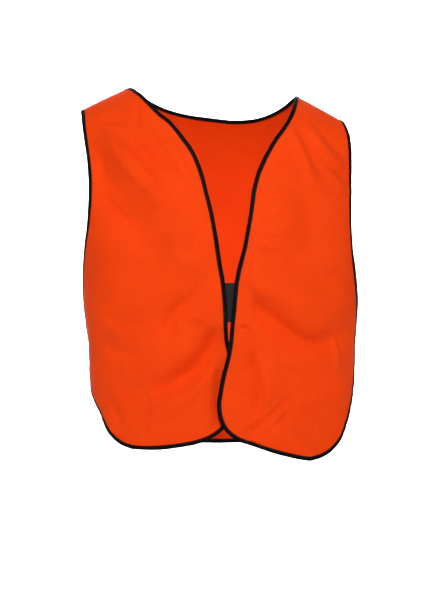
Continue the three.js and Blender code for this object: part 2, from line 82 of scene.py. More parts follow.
FOLDS_R = [
    (-4.2, 10, [(17.5, -312.0), (15.5, -345.0), (14.5, -380.0), (14.0, -415.0), (17.0, -452.0)]),
    (3.8, 15, [(-147.4, -49.5), (-113.2, -79.4), (-57.7, -132.8)]),
    (-5.0, 25, [(-153.8, -85.8), (-113.2, -145.6), (-62.0, -226.7)]),
    (1.2, 10, [(-53.5, -196.8), (-23.6, -213.9), (-6.5, -231.0)]),
    (-1.6, 7, [(-32.1, -286.4), (-15.1, -292.8), (-0.1, -286.4)]),
    (-1.6, 5, [(-146.9, -21.9), (-127.7, -25.7), (-108.5, -30.9)]),
    (-1.3, 4, [(-97.0, -6.5), (-97.0, -33.4)]),
    (2.6, 9, [(-139.2, -38.5), (-104.6, -79.5), (-66.2, -130.7)]),
    (-2.4, 9, [(-100.8, -51.3), (-85.4, -73.1), (-70.1, -97.4)]),
    (2, 9, [(-82.9, -28.3), (-50.9, -66.7), (-21.4, -117.9)]),
    (-1.2, 11, [(-141.8, -56.5), (-143.0, -85.9), (-139.2, -117.9)]),
    (-1.6, 6, [(-149.4, -123.0), (-130.2, -140.9), (-108.5, -158.9)]),
    (-3.6, 10, [(-22.0, -252.0), (-46.0, -272.0), (-66.0, -304.0)]),
    (-6.2, 13, [(7.0, -285.0), (-4.0, -320.0), (-23.6, -346.2), (-49.2, -363.3), (-79.1, -378.2)]),
    (1.6, 9, [(11.8, -316.3), (-6.1, -354.7), (-34.2, -384.1), (-79.0, -399.5)]),
    (-0.9, 4, [(-82.9, -376.5), (-84.2, -444.3)]),
    (1.8, 14, [(-117.4, -188.3), (-79.0, -210.1), (-15.0, -217.7)]),
    (-1.6, 8, [(-143.0, -309.9), (-120.0, -325.3), (-91.8, -330.4)]),
    (1.2, 8, [(-149.4, -284.3), (-117.4, -299.7), (-85.4, -304.8)]),
    (-1.2, 7, [(-137.9, -380.3), (-120.0, -412.3), (-112.3, -432.8)]),
]
FOLDS_L = [
    (3.4, 19, [(44.7, -237.4), (87.4, -248.0), (130.1, -275.8), (147.2, -295.0)]),
    (-1.8, 16, [(113.0, -120.0), (125.8, -154.1), (121.5, -196.8)]),
    (-1.3, 14, [(172.8, -218.1), (155.7, -231.0), (147.2, -256.6)]),
    (1.8, 9, [(61.8, -299.3), (78.9, -341.9), (87.4, -376.1)]),
    (2.3, 6.5, [(101.4, -37.3), (116.8, -73.1), (133.4, -115.3)]),
    (-0.8, 5, [(113.0, -36.0), (128.3, -69.3), (147.5, -107.7)]),
    (2.3, 6.5, [(123.2, -30.9), (148.8, -69.3), (171.8, -87.2)]),
    (-0.7, 5, [(136.0, -33.4), (156.5, -56.5), (174.4, -69.3)]),
    (2.1, 5.5, [(146.2, -89.7), (171.8, -119.2)]),
    (1.1, 5.5, [(59.2, -116.6), (96.2, -120.7)]),
    (1.35, 6, [(57.9, -135.5), (106.7, -141.4)]),
    (1.2, 5.5, [(56.6, -151.0), (92.2, -152.0)]),
    (1.35, 6, [(54.1, -171.4), (101.6, -174.7)]),
    (1.1, 5.5, [(52.8, -190.0), (88.5, -190.3)]),
    (-2.2, 26, [(141.1, -124.3), (141.1, -210.1)]),
    (-5.4, 12.5, [(42.0, -250.5), (64.3, -271.5), (100.2, -303.5), (130.9, -316.3), (179.5, -302.2)]),
    (-5.6, 9.5, [(32.3, -268.9), (47.7, -335.5), (59.2, -408.5)]),
    (1.5, 6, [(40.0, -297.1), (64.3, -350.9), (74.6, -412.3)]),
    (-2.4, 6, [(98.9, -384.1), (72.0, -409.7), (43.8, -435.3)]),
    (-1.2, 4, [(87.4, -381.6), (59.2, -407.2)]),
    (-1.2, 4, [(102.7, -399.5), (74.6, -425.1)]),
    (-1.2, 4, [(92.5, -343.2), (113.0, -358.5)]),
    (1.5, 4, [(161.6, -300.9), (161.6, -350.9)]),
    (1.4, 10, [(113.0, -380.3), (151.4, -386.7), (174.4, -384.1)]),
]
FOLDS_B = [
    (2.2, 16, [(-95.0, -60.0), (-70.0, -190.0), (-60.0, -330.0)]),
    (-2.2, 14, [(-60.0, -70.0), (-38.0, -200.0), (-30.0, -330.0)]),
    (2.0, 15, [(90.0, -70.0), (72.0, -190.0), (66.0, -340.0)]),
    (-2.4, 14, [(50.0, -75.0), (36.0, -210.0), (40.0, -340.0)]),
    (1.6, 12, [(0.0, -60.0), (4.0, -140.0), (2.0, -240.0)]),
    (-2.0, 13, [(-150.0, -300.0), (-90.0, -330.0), (-40.0, -350.0)]),
    (-2.0, 13, [(175.0, -300.0), (110.0, -335.0), (60.0, -350.0)]),
    (1.8, 12, [(-140.0, -345.0), (-80.0, -375.0), (-20.0, -392.0)]),
    (1.6, 12, [(165.0, -350.0), (100.0, -380.0), (50.0, -395.0)]),
    (-1.5, 9, [(-130.0, -90.0), (-105.0, -130.0), (-100.0, -180.0)]),
    (-1.5, 9, [(135.0, -90.0), (118.0, -130.0), (112.0, -180.0)]),
]
NECK_R, NECK_L, NECK_DROP, NECK_P, NECK_Q = -30.2, 29.6, 97.0, 2.4, 0.72
BIND_W = 6.7          # binding width on each face
CLOTH_T = 0.45        # cloth
BIND_H = 0.95         # half the thickness of the taped edge


def interp(t, tab):
    xs = np.array([p[0] for p in tab], float)
    ys = np.array([p[1] for p in tab], float)
    d = np.diff(ys) / np.diff(xs)
    m = np.zeros(len(xs))
    prod = d[:-1] * d[1:]
    den = np.where(np.abs(d[:-1] + d[1:]) < 1e-12, 1.0, d[:-1] + d[1:])
    m[1:-1] = np.where(prod > 0, 2 * prod / den, 0)
    m[0], m[-1] = d[0], d[-1]
    t = np.clip(np.asarray(t, float), xs[0], xs[-1])
    i = np.clip(np.searchsorted(xs, t) - 1, 0, len(xs) - 2)
    h = xs[i + 1] - xs[i]
    u = (t - xs[i]) / h
    return ys[i] * (1 + 2 * u) * (1 - u) ** 2 + m[i] * h * u * (1 - u) ** 2 + ys[i + 1] * u * u * (3 - 2 * u) + m[i + 1] * h * u * u * (u - 1)


def sm(u):
    u = np.clip(u, 0, 1)
    return u * u * (3 - 2 * u)


def ridge(x):
    z = np.where(x < 0, 21.0 - 0.51 * (-x - 115), 10.6 - 0.57 * (x - 113.5))
    cap = 28 + 8 * sm((45 - x) / 90)
    z = -10 * np.log(np.exp(-z / 10) + np.exp(-cap / 10))
    ex = np.maximum(np.abs(x) - 176, 0)
    return z - ex * ex * 0.02


def place(s, c, v):
    x = interp(v, CENTRE_X) + interp(v, HALF_W) * s
    drop = v * v / (v + DROP_K)
    z = ridge(x) * (1 - sm(v / 330)) - drop
    ef = np.sqrt(np.maximum(0, 1 - np.clip(1 - drop / H_FRONT, 0, 1) ** P_FRONT))
    eb = np.sqrt(np.maximum(0, 1 - np.clip(1 - drop / H_BACK, 0, 1) ** P_BACK))
    y = Y_RIDGE - np.where(c >= 0, interp(v, DEPTH_F) * ef, interp(v, DEPTH_B) * eb) * c
    return np.stack([x, y, z], -1)


def pw(a):
    return np.sign(a) * np.abs(a) ** (2 / N_RING)


def on_front(a, v):
    a = np.radians(a)
    return place(pw(np.sin(a)), pw(np.cos(a)), v)


def on_back(a, v):
    a = np.radians(a)
    return place(pw(np.sin(a)), -pw(np.cos(a)), v)


def unit(a):
    return a / np.maximum(np.linalg.norm(a, axis=-1, keepdims=True), 1e-9)


def base_normal(f, a, v, p):
    da = f(a + 0.02, v) - f(a - 0.02, v)
    dv = f(a, v + 0.05) - f(a, np.maximum(v - 0.05, 0.02))
    n = unit(np.cross(da, dv))
    out = np.stack([p[..., 0], p[..., 1] - Y_RIDGE, np.maximum(0, p[..., 2] + 40) * 3], -1)
    return n * np.where((n * out).sum(-1) < 0, -1, 1)[..., None]


def grid_normal(P, ref):
    n = unit(np.cross(np.gradient(P, axis=1), np.gradient(P, axis=0)))
    return n * np.where((n * ref).sum(-1) < 0, -1, 1)[..., None]


# ---------------------------------------------------------------- folds
FOLD_GAIN = 2.3


def seg_dist(x, z, a, b):
    ax, az = a
    bx, bz = b
    dx, dz = bx - ax, bz - az
    l2 = dx * dx + dz * dz
    t = np.clip(((x - ax) * dx + (z - az) * dz) / l2, 0, 1)
    return np.hypot(x - ax - t * dx, z - az - t * dz), t


def resample(pts, n=26):
    p = np.array(pts, float)
    if len(p) > 2:      # Catmull-Rom through the points
        q = np.vstack([2 * p[0] - p[1], p, 2 * p[-1] - p[-2]])
        out = []
        for i in range(1, len(q) - 2):
            for k in range(10):
                t = k / 10
                out.append(0.5 * ((2 * q[i]) + (-q[i - 1] + q[i + 1]) * t + (2 * q[i - 1] - 5 * q[i] + 4 * q[i + 1] - q[i + 2]) * t * t + (-q[i - 1] + 3 * q[i] - 3 * q[i + 1] + q[i + 2]) * t ** 3))
        out.append(p[-1])
        p = np.array(out)
    return p


def fold_field(x, z, folds):
    d = np.zeros_like(x)
    for amp, width, pts in folds:
        p = resample(pts)
        seg = np.linalg.norm(np.diff(p, axis=0), axis=1)
        cum = np.concatenate([[0], np.cumsum(seg)])
        total = cum[-1]
        best = np.full(x.shape, 1e9)
        where = np.zeros_like(x)
        for k in range(len(p) - 1):
            r, t = seg_dist(x, z, p[k], p[k + 1])
            hit = r < best
            best = np.where(hit, r, best)
            where = np.where(hit, (cum[k] + t * seg[k]) / total, where)
        taper = np.sin(np.pi * np.clip(where, 0, 1)) ** 0.6 * 0.85 + 0.15
        w = width * (0.8 + 0.4 * where)
        d += amp * taper * np.exp(-(best / w) ** 2)
    return d * FOLD_GAIN


def soft_noise(x, z, seed, scale):
    """smooth repeatable undulation, about -1..1"""
    d = np.zeros_like(x)
    for k in range(7):
        a = seed * 1.7 + k * 2.399
        f = (0.7 + 0.23 * k) / scale
        d += np.sin((x * math.cos(a) + z * math.sin(a)) * f * 2 * math.pi + a * 3.1 + 1.3 * np.sin((x * math.sin(a) - z * math.cos(a)) * f * 2.1 + k)) / (1 + 0.35 * k)
    return d / 3.2


# ---------------------------------------------------------------- mesh helpers
def new_object(name, verts_mm, faces, uvs, mats, face_mat=None):
    me = bpy.data.meshes.new(name)
    me.from_pydata((np.asarray(verts_mm) * MM).tolist(), [], faces)
    me.update()
    lay = me.uv_layers.new(name="UVMap")
    idx = np.empty(len(me.loops), dtype=np.int32)
    me.loops.foreach_get("vertex_index", idx)
    lay.data.foreach_set("uv", np.asarray(uvs, np.float32)[idx].ravel())
    for m in mats:
        me.materials.append(m)
    if face_mat is not None:
        me.polygons.foreach_set("material_index", np.asarray(face_mat, np.int32))
    me.polygons.foreach_set("use_smooth", np.ones(len(me.polygons), dtype=bool))
    bm = bmesh.new()
    bm.from_mesh(me)
    bmesh.ops.recalc_face_normals(bm, faces=bm.faces)
    bm.to_mesh(me)
    bm.free()
    ob = bpy.data.objects.new(name, me)
    bpy.context.scene.collection.objects.link(ob)
    return ob


def thick_sheet(name, verts, normals, faces, uvs, half, mats):
    n = len(verts)
    V = np.vstack([verts + normals * half, verts - normals * half])
    F = [tuple(f) for f in faces] + [tuple(i + n for i in reversed(f)) for f in faces]
    count = {}
    for f in faces:
        for i in range(len(f)):
            e = (f[i], f[(i + 1) % len(f)])
            if (e[1], e[0]) in count:
                del count[(e[1], e[0])]
            else:
                count[e] = 1
    for a, b in count:
        F.append((b, a, a + n, b + n))
    return new_object(name, V, F, np.vstack([uvs, uvs]), mats)


def edge_frames(p, n, start=None, end=None):
    t = np.gradient(p, axis=0)
    if start is not None:
        k = 4
        for i in range(k):
            w = i / k
            t[i] = unit(t[i]) * w + np.array(start, float) * (1 - w)
    if end is not None:
        k = 4
        for i in range(k):
            w = i / k
            t[-1 - i] = unit(t[-1 - i]) * w + np.array(end, float) * (1 - w)
    t = unit(t)
    t = unit(t - n * (t * n).sum(-1, keepdims=True))
    return t, np.cross(t, n)


def smooth_line(a, k=3, keep=True):
    out = a.copy()
    for _ in range(k):
        out[1:-1] = out[:-2] * 0.25 + out[1:-1] * 0.5 + out[2:] * 0.25
    return out


BIND_SEC = [(1.2, 0.50), (1.4, 0.86), (1.95, 0.98), (2.5, 0.90), (3.3, 1.02), (4.6, 1.04), (5.6, 0.98), (6.3, 0.74), (6.62, 0.38), (6.7, 0.0)]


def bind_piece(name, p, n, o, s, mats):
    """folded tape: closed rounded section swept along the edge, with a sewn groove"""
    sec = [(a, b * BIND_H) for a, b in BIND_SEC] + [(a, -b * BIND_H) for a, b in reversed(BIND_SEC[:-1])]
    m, k = len(sec), len(p)
    V, U = [], []
    wid = 1 + 0.035 * np.sin(s / 23.0 + 1.0) + 0.02 * np.sin(s / 7.3)
    puck = 0.10 * np.sin(s * 2 * math.pi / 5.6) + 0.07 * np.sin(s * 2 * math.pi / 8.9 + 1)
    for (a, b) in sec:
        inner = math.exp(-((a - 2.3) / 1.3) ** 2)
        ww = a * wid if a > 1 else a * np.ones(k)
        h = b + np.sign(b) * puck * (0.35 + 0.65 * inner)
        V.append(p + o * ww[:, None] + n * np.broadcast_to(h, (k,))[:, None])
        U.append(np.stack([s * MM, np.full(k, (a if b >= 0 else 2 * BIND_W - a) * MM)], -1))
    V = np.stack(V, 1).reshape(-1, 3)
    U = np.stack(U, 1).reshape(-1, 2)
    F = []
    for i in range(k - 1):
        for j in range(m):
            a, b = i * m + j, i * m + (j + 1) % m
            F.append((a, b, b + m, a + m))
    F.append(tuple(range(m)))
    F.append(tuple((k - 1) * m + j for j in reversed(range(m))))
    return new_object(name, V, F, U, mats)


def stitch_row(name, p, n, t, o, s, at, lift, mat, pitch=3.2, length=2.3, r=0.22, both=True):
    """a row of lockstitch threads lying on the tape"""
    total = s[-1]
    count = max(1, int((total - 4) / pitch))
    V, F = [], []
    for k in range(count):
        c = 2 + pitch * (k + 0.5)
        for side in ((1, -1) if both else (1,)):
            rings = []
            for q, (f, rr, dz) in enumerate(((-0.5, 0.45, -0.30), (-0.25, 1.0, 0.0), (0.25, 1.0, 0.0), (0.5, 0.45, -0.30))):
                sc = c + f * length
                P = np.array([np.interp(sc, s, p[:, i]) for i in range(3)])
                N = np.array([np.interp(sc, s, n[:, i]) for i in range(3)])
                O = np.array([np.interp(sc, s, o[:, i]) for i in range(3)])
                T = np.array([np.interp(sc, s, t[:, i]) for i in range(3)])
                C = P + O * at + N * side * (lift + dz)
                rings.append([C + O * r * rr * 1.2, C + N * side * r * rr, C - O * r * rr * 1.2, C - N * side * r * rr])
            b = len(V)
            for ring in rings:
                V.extend(ring)
            for q in range(3):
                for j in range(4):
                    a0, a1 = b + q * 4 + j, b + q * 4 + (j + 1) % 4
                    F.append((a0, a1, a1 + 4, a0 + 4))
            F.append((b, b + 1, b + 2, b + 3))
            F.append((b + 15, b + 14, b + 13, b + 12))
    V = np.array(V)
    return new_object(name, V, F, V[:, :2] * MM, [mat])


# ---------------------------------------------------------------- materials
def node(nt, kind, **kw):
    n = nt.nodes.new(kind)
    for k, v in kw.items():
        setattr(n, k, v)
    return n


def base_material(name, color, rough, sheen=0.0, sheen_rough=0.5, sheen_tint=(1, 1, 1), spec=0.5):
    m = bpy.data.materials.new(name)
    m.use_nodes = True
    nt = m.node_tree
    b = nt.nodes["Principled BSDF"]
    b.inputs["Base Color"].default_value = (*color, 1)
    b.inputs["Roughness"].default_value = rough
    b.inputs["Sheen Weight"].default_value = sheen
    b.inputs["Sheen Roughness"].default_value = sheen_rough
    b.inputs["Sheen Tint"].default_value = (*sheen_tint, 1)
    b.inputs["Specular IOR Level"].default_value = spec
    return m, nt, b


def ramp(nt, fac, stops):
    r = node(nt, "ShaderNodeValToRGB")
    el = r.color_ramp.elements
    while len(el) < len(stops):
        el.new(0.5)
    for e, (p, c) in zip(el, stops):
        e.position = p
        e.color = (*c, 1)
    nt.links.new(fac, r.inputs["Fac"])
    return r


def math_node(nt, op, a, b=None):
    n = node(nt, "ShaderNodeMath", operation=op)
    for i, x in enumerate((a, b)):
        if x is None:
            continue
        if isinstance(x, (int, float)):
            n.inputs[i].default_value = x
        else:
            nt.links.new(x, n.inputs[i])
    return n.outputs[0]


def weave(nt, uv, pitch, turn=0.0):
    """over-and-under plain weave height, 0..1, threads along both UV directions"""
    mp = node(nt, "ShaderNodeMapping")
    mp.inputs["Scale"].default_value = (1 / pitch, 1 / pitch, 1)
    mp.inputs["Rotation"].default_value = (0, 0, turn)
    nt.links.new(uv, mp.inputs["Vector"])
    sep = node(nt, "ShaderNodeSeparateXYZ")
    nt.links.new(mp.outputs[0], sep.inputs[0])
    sx = math_node(nt, "SINE", math_node(nt, "MULTIPLY", sep.outputs[0], math.pi))
    sy = math_node(nt, "SINE", math_node(nt, "MULTIPLY", sep.outputs[1], math.pi))
    p = math_node(nt, "MULTIPLY", sx, sy)
    ax = math_node(nt, "ABSOLUTE", sx)
    ay = math_node(nt, "ABSOLUTE", sy)
    w = math_node(nt, "ADD", math_node(nt, "MULTIPLY", p, 0.5), math_node(nt, "MULTIPLY", math_node(nt, "ADD", ax, ay), 0.35))
    return w


def cloth_material(name, dark, mid, light, seed=0.0):
    m, nt, b = base_material(name, mid, 0.78, sheen=0.08, sheen_rough=0.5, sheen_tint=(1.0, 0.22, 0.03), spec=0.07)
    uv = node(nt, "ShaderNodeUVMap", uv_map="UVMap").outputs[0]
    # broad dye and handling variation
    big = node(nt, "ShaderNodeTexNoise")
    big.inputs["Scale"].default_value = 14
    big.inputs["Detail"].default_value = 4
    nt.links.new(uv, big.inputs["Vector"])
    # slubs: yarn thickness varies along the warp and the weft
    mw = node(nt, "ShaderNodeMapping")
    mw.inputs["Scale"].default_value = (900, 26, 1)
    nt.links.new(uv, mw.inputs["Vector"])
    sl = node(nt, "ShaderNodeTexNoise")
    sl.inputs["Scale"].default_value = 1
    sl.inputs["Detail"].default_value = 3
    nt.links.new(mw.outputs[0], sl.inputs["Vector"])
    mh = node(nt, "ShaderNodeMapping")
    mh.inputs["Scale"].default_value = (22, 800, 1)
    nt.links.new(uv, mh.inputs["Vector"])
    sh = node(nt, "ShaderNodeTexNoise")
    sh.inputs["Scale"].default_value = 1
    sh.inputs["Detail"].default_value = 3
    nt.links.new(mh.outputs[0], sh.inputs["Vector"])
    w = weave(nt, uv, 0.00075)
    mixv = math_node(nt, "ADD", math_node(nt, "MULTIPLY", big.outputs["Fac"], 0.30),
                     math_node(nt, "ADD", math_node(nt, "MULTIPLY", sl.outputs["Fac"], 0.16), math_node(nt, "MULTIPLY", sh.outputs["Fac"], 0.16)))
    # the weave height also shifts the colour: thread crossings are painted lighter and the hollows between them darker,
    # a painted highlight and shade
    mixv = math_node(nt, "ADD", mixv, math_node(nt, "MULTIPLY", w, 0.10))
    r = ramp(nt, mixv, [(0.18, dark), (0.36, mid), (0.56, light)])
    nt.links.new(r.outputs["Color"], b.inputs["Base Color"])
    rr = math_node(nt, "ADD", math_node(nt, "MULTIPLY", big.outputs["Fac"], 0.12), 0.72)
    nt.links.new(rr, b.inputs["Roughness"])
    bump = node(nt, "ShaderNodeBump")
    bump.inputs["Strength"].default_value = 0.35
    bump.inputs["Distance"].default_value = 0.00016
    nt.links.new(w, bump.inputs["Height"])
    b2 = node(nt, "ShaderNodeBump")
    b2.inputs["Strength"].default_value = 0.12
    b2.inputs["Distance"].default_value = 0.0005
    nt.links.new(math_node(nt, "ADD", sl.outputs["Fac"], sh.outputs["Fac"]), b2.inputs["Height"])
    nt.links.new(bump.outputs[0], b2.inputs["Normal"])
    nt.links.new(b2.outputs[0], b.inputs["Normal"])
    return m


def tape_material(name, dark, light, rib=0.0011, sheen=0.02, rough=0.55, spec=0.13):
    """ribbed woven tape; ribs run across the tape"""
    m, nt, b = base_material(name, dark, rough, sheen=sheen, sheen_rough=0.35, sheen_tint=(0.9, 0.9, 1.0), spec=spec)
    uv = node(nt, "ShaderNodeUVMap", uv_map="UVMap").outputs[0]
    sep = node(nt, "ShaderNodeSeparateXYZ")
    nt.links.new(uv, sep.inputs[0])
    ribs = math_node(nt, "ABSOLUTE", math_node(nt, "SINE", math_node(nt, "MULTIPLY", sep.outputs[0], math.pi / rib)))
    fine = weave(nt, uv, 0.00042)
    nz = node(nt, "ShaderNodeTexNoise")
    nz.inputs["Scale"].default_value = 160
    nz.inputs["Detail"].default_value = 4
    nt.links.new(uv, nz.inputs["Vector"])
    h = math_node(nt, "ADD", math_node(nt, "MULTIPLY", ribs, 0.7), math_node(nt, "MULTIPLY", fine, 0.3))
    mix = math_node(nt, "ADD", math_node(nt, "MULTIPLY", h, 0.45), math_node(nt, "MULTIPLY", nz.outputs["Fac"], 0.6))
    # colour follows the rib height as well as random noise: rib crests are painted lighter (painted highlight) and
    # grooves darker (painted shade)
    r = ramp(nt, mix, [(0.25, tuple(c * 0.6 for c in dark)), (0.55, dark), (0.85, light)])
    nt.links.new(r.outputs["Color"], b.inputs["Base Color"])
    bump = node(nt, "ShaderNodeBump")
    bump.inputs["Strength"].default_value = 0.5
    bump.inputs["Distance"].default_value = 0.00022
    nt.links.new(h, bump.inputs["Height"])
    nt.links.new(bump.outputs[0], b.inputs["Normal"])
    return m


def hook_material(name, dark, light):
    m, nt, b = base_material(name, dark, 0.7, sheen=0.03, sheen_rough=0.4, sheen_tint=(1, 1, 1), spec=0.2)
    uv = node(nt, "ShaderNodeUVMap", uv_map="UVMap").outputs[0]
    mp = node(nt, "ShaderNodeMapping")
    mp.inputs["Scale"].default_value = (1 / 0.0013, 1 / 0.0011, 1)
    nt.links.new(uv, mp.inputs["Vector"])
    vo = node(nt, "ShaderNodeTexVoronoi")
    vo.inputs["Scale"].default_value = 1
    vo.inputs["Randomness"].default_value = 0.35
    nt.links.new(mp.outputs[0], vo.inputs["Vector"])
    # colour follows the Voronoi distance: hook tops at the cell centres are painted lighter (painted highlight), the
    # gaps between them darker (painted shade)
    r = ramp(nt, vo.outputs["Distance"], [(0.0, light), (0.45, dark), (1.0, tuple(c * 0.6 for c in dark))])
    nt.links.new(r.outputs["Color"], b.inputs["Base Color"])
    bump = node(nt, "ShaderNodeBump")
    bump.inputs["Strength"].default_value = 0.8
    bump.inputs["Distance"].default_value = 0.0005
    bump.invert = True
    nt.links.new(vo.outputs["Distance"], bump.inputs["Height"])
    nt.links.new(bump.outputs[0], b.inputs["Normal"])
    return m


# the three oranges are random dye tone, shifted a little by the painted weave highlight and shade
ORANGE_DARK, ORANGE, ORANGE_LIGHT = (0.74, 0.040, 0.0012), (0.86, 0.053, 0.0022), (0.94, 0.066, 0.0042)
M_CLOTH = cloth_material("orange_woven_cloth", ORANGE_DARK, ORANGE, ORANGE_LIGHT)
# the lighter tape colour goes on rib crests as a painted highlight and the darkest on the grooves as painted shade; the
# rest of the tape tone varies at random
M_TAPE = tape_material("black_edge_tape", (0.0022, 0.0020, 0.0021), (0.0065, 0.0060, 0.0064), sheen=0.004, spec=0.05)
M_ELASTIC = tape_material("black_ribbed_elastic", (0.0065, 0.006, 0.0065), (0.020, 0.019, 0.021), rib=0.0016, sheen=0.02, rough=0.5)
# the lighter hook colour is a painted highlight on the hook tops; the darker is painted shade between them
M_HOOK = hook_material("hook_and_loop", (0.017, 0.015, 0.015), (0.040, 0.037, 0.037))
M_THREAD, _nt, _b = base_material("black_thread", (0.012, 0.012, 0.013), 0.5, sheen=0.05, spec=0.35)
_n = node(_nt, "ShaderNodeTexNoise"); _n.inputs["Scale"].default_value = 3000
_r = ramp(_nt, _n.outputs["Fac"], [(0.3, (0.006, 0.006, 0.0065)), (0.7, (0.018, 0.018, 0.02))])
_nt.links.new(_r.outputs["Color"], _b.inputs["Base Color"])
M_OTHREAD, _nt, _b = base_material("orange_thread", (0.75, 0.045, 0.005), 0.5, sheen=0.2, spec=0.5)
_n = node(_nt, "ShaderNodeTexNoise"); _n.inputs["Scale"].default_value = 3000
_r = ramp(_nt, _n.outputs["Fac"], [(0.3, (0.62, 0.03, 0.003)), (0.7, (0.9, 0.07, 0.01))])
_nt.links.new(_r.outputs["Color"], _b.inputs["Base Color"])

# ---------------------------------------------------------------- front panels
NR, NC = 210, 80


def lap(v):
    return sm((v - 376) / 40)


def edge_pucker(along, dist):
    """short puckers where the tape gathers the cloth"""
    swell = 0.55 + 0.45 * np.sin(along / 61.0 + 0.8)
    return 0.15 * swell * np.exp(-dist / 8.0) * (np.sin(along * 2 * math.pi / 12.7 + 0.8 * np.sin(along / 37.0)) + 0.8 * np.sin(along * 2 * math.pi / 27.0 + 2))


def front(side):
    tin, tout = (RIGHT_IN, RIGHT_OUT) if side == "right" else (LEFT_IN, LEFT_OUT)
    folds = FOLDS_R if side == "right" else FOLDS_L
    q = np.linspace(0, 1, NR + 1)
    t = 1 - (1 - q) ** 1.22
    u = np.linspace(0, 1, NC + 1)
    T, U = np.meshgrid(t, u, indexing="ij")
    vi, vo = T * tin[-1][0], T * tout[-1][0]
    ai, ao = interp(vi, tin), interp(vo, tout)
    sag = 4 * U * (1 - U) * sm((T - 0.6) / 0.4) * 3
    A = ai + (ao - ai) * U
    V0 = vi + (vo - vi) * U
    V = np.maximum(V0 + sag, 0.12)
    P = on_front(A, V)
    N = base_normal(on_front, A, V, P)
    if side == "right":
        off = -LAP_IN * lap(V0) * sm((A + 20) / 15) - interp(V0, TUCK_IN) * sm((-A - 52) / 24)
    else:
        off = LAP_OUT * lap(V0) * sm((24 - A) / 17)
    B = P + N * off[..., None]
    du = np.linalg.norm(np.diff(B, axis=1), axis=2)
    dv = np.linalg.norm(np.diff(B, axis=0), axis=2)
    cu = np.concatenate([np.zeros((NR + 1, 1)), np.cumsum(du, 1)], 1)
    cv = np.concatenate([np.zeros((1, NC + 1)), np.cumsum(dv, 0)], 0)
    x, z = B[..., 0], B[..., 2]
    d = fold_field(x, z, folds)
    rest = sm(V / 25.0)              # the seam holds the cloth at the shoulder
    sgn = 1 if side == "left" else -1
    d += 0.85 * soft_noise(x * 1.0 + B[..., 1] * 0.7 * sgn, z * 0.75, 3.0 if side == "left" else 5.0, 120) + 0.32 * soft_noise(x + B[..., 1] * 0.7 * sgn, z, 9.0 if side == "left" else 7.0, 46)
    width = cu[:, -1:]
    d_in, d_out = cu, width - cu
    d_hem = cv[-1:, :] - cv
    edge = np.minimum(np.minimum(d_in, d_out), d_hem)
    d *= 0.35 + 0.65 * sm(edge / 14.0)
    d += edge_pucker(cv, d_in) + edge_pucker(cv + 40, d_out) + edge_pucker(cu + 15, d_hem)
    d *= rest
    if side == "right":
        over_patch = sm((x + 20) / 20) * sm((z + 308) / 20) * sm((-216 - z) / 20)
        d *= 1 - over_patch
    else:
        over_tab = sm((58 - x) / 12) * sm((z + 300) / 12) * sm((-224 - z) / 12)
        d = np.where(d < 0, d * (1 - over_tab), d)
    # where the fronts lap, keep the layers apart
    if side == "right":
        near = lap(V0 + 18) * sm((A + 9) / 8)
        d = np.minimum(d, 0.4 + (1 - near) * 9)
    else:
        near = lap(V0 + 18) * sm((12 - A) / 8)
        d = np.maximum(d, -0.3 - (1 - near) * 9)
    # displace the cloth along its normals by the fold field
    P2 = B + N * d[..., None]
    G = grid_normal(P2, N)
    # boundary loop: front edge down, hem, armhole up
    ids = np.arange((NR + 1) * (NC + 1)).reshape(NR + 1, NC + 1)
    loop = np.concatenate([ids[:, 0], ids[-1, 1:], ids[-2::-1, -1]])
    lp = P2.reshape(-1, 3)[loop]
    ln = smooth_line(G.reshape(-1, 3)[loop], 16)
    ln = unit(ln)
    tt, oo = edge_frames(lp, ln, (0, -1, 0), (0, 1, 0))
    oo = unit(smooth_line(oo, 24))
    if (oo[NR // 2] * (lp[NR // 2] - P2[NR // 2, NC // 2])).sum() < 0:
        oo = -oo
    verts = np.vstack([P2.reshape(-1, 3), lp + oo * 4.6])
    norms = np.vstack([G.reshape(-1, 3), ln])
    uvs = np.stack([cu.ravel(), cv.ravel()], -1)
    luv = uvs[loop].copy()
    luv[: NR + 1, 0] -= 4.6
    luv[NR + 1:NR + 1 + NC, 1] += 4.6
    luv[NR + 1 + NC:, 0] += 4.6
    uvs = np.vstack([uvs, luv]) * MM
    F = []
    for i in range(NR):
        for j in range(NC):
            F.append((ids[i, j], ids[i + 1, j], ids[i + 1, j + 1], ids[i, j + 1]))
    n0 = (NR + 1) * (NC + 1)
    for k in range(len(loop) - 1):
        F.append((loop[k + 1], loop[k], n0 + k, n0 + k + 1))
    F = [tuple(int(i) for i in f) for f in F]
    panel = thick_sheet("panel_front_" + side, verts, norms, F, uvs, CLOTH_T / 2, [M_CLOTH])
    s = np.concatenate([[0], np.cumsum(np.linalg.norm(np.diff(lp, axis=0), axis=1))])
    e1, e2 = NR, NR + NC
    out = {"panel": panel, "P": P2, "G": G, "loop": (lp, ln, tt, oo, s)}
    area = float((np.linalg.norm(np.cross(np.diff(P2, axis=1)[:-1], np.diff(P2, axis=0)[:, :-1]), axis=2)).sum() + s[-1] * 4.6) * 1e-6
    out["area"] = area
    for nm, a, b in (("front_edge", 0, e1), ("hem", e1, e2), ("armhole", e2, len(loop) - 1)):
        sl = slice(a, b + 1)
        ss = s[sl] - s[a]
        out[nm] = bind_piece("tape_%s_%s" % (side, nm), lp[sl], ln[sl], oo[sl], s[sl], [M_TAPE])
        out["st_" + nm] = stitch_row("stitch_%s_%s" % (side, nm), lp[sl], ln[sl], tt[sl], oo[sl], ss, 2.4, BIND_H * 0.95 + 0.12, M_THREAD)
    return out


LAP_OUT, LAP_IN = 3.4, 2.2
TUCK_IN = [(440, 0), (465, 1.2), (478, 3), (488, 5.2), (500, 8), (515, 10.5), (540, 12)]
right = front("right")
left = front("left")

# ---------------------------------------------------------------- back panel
SH, NK, RB = 18, 60, 170


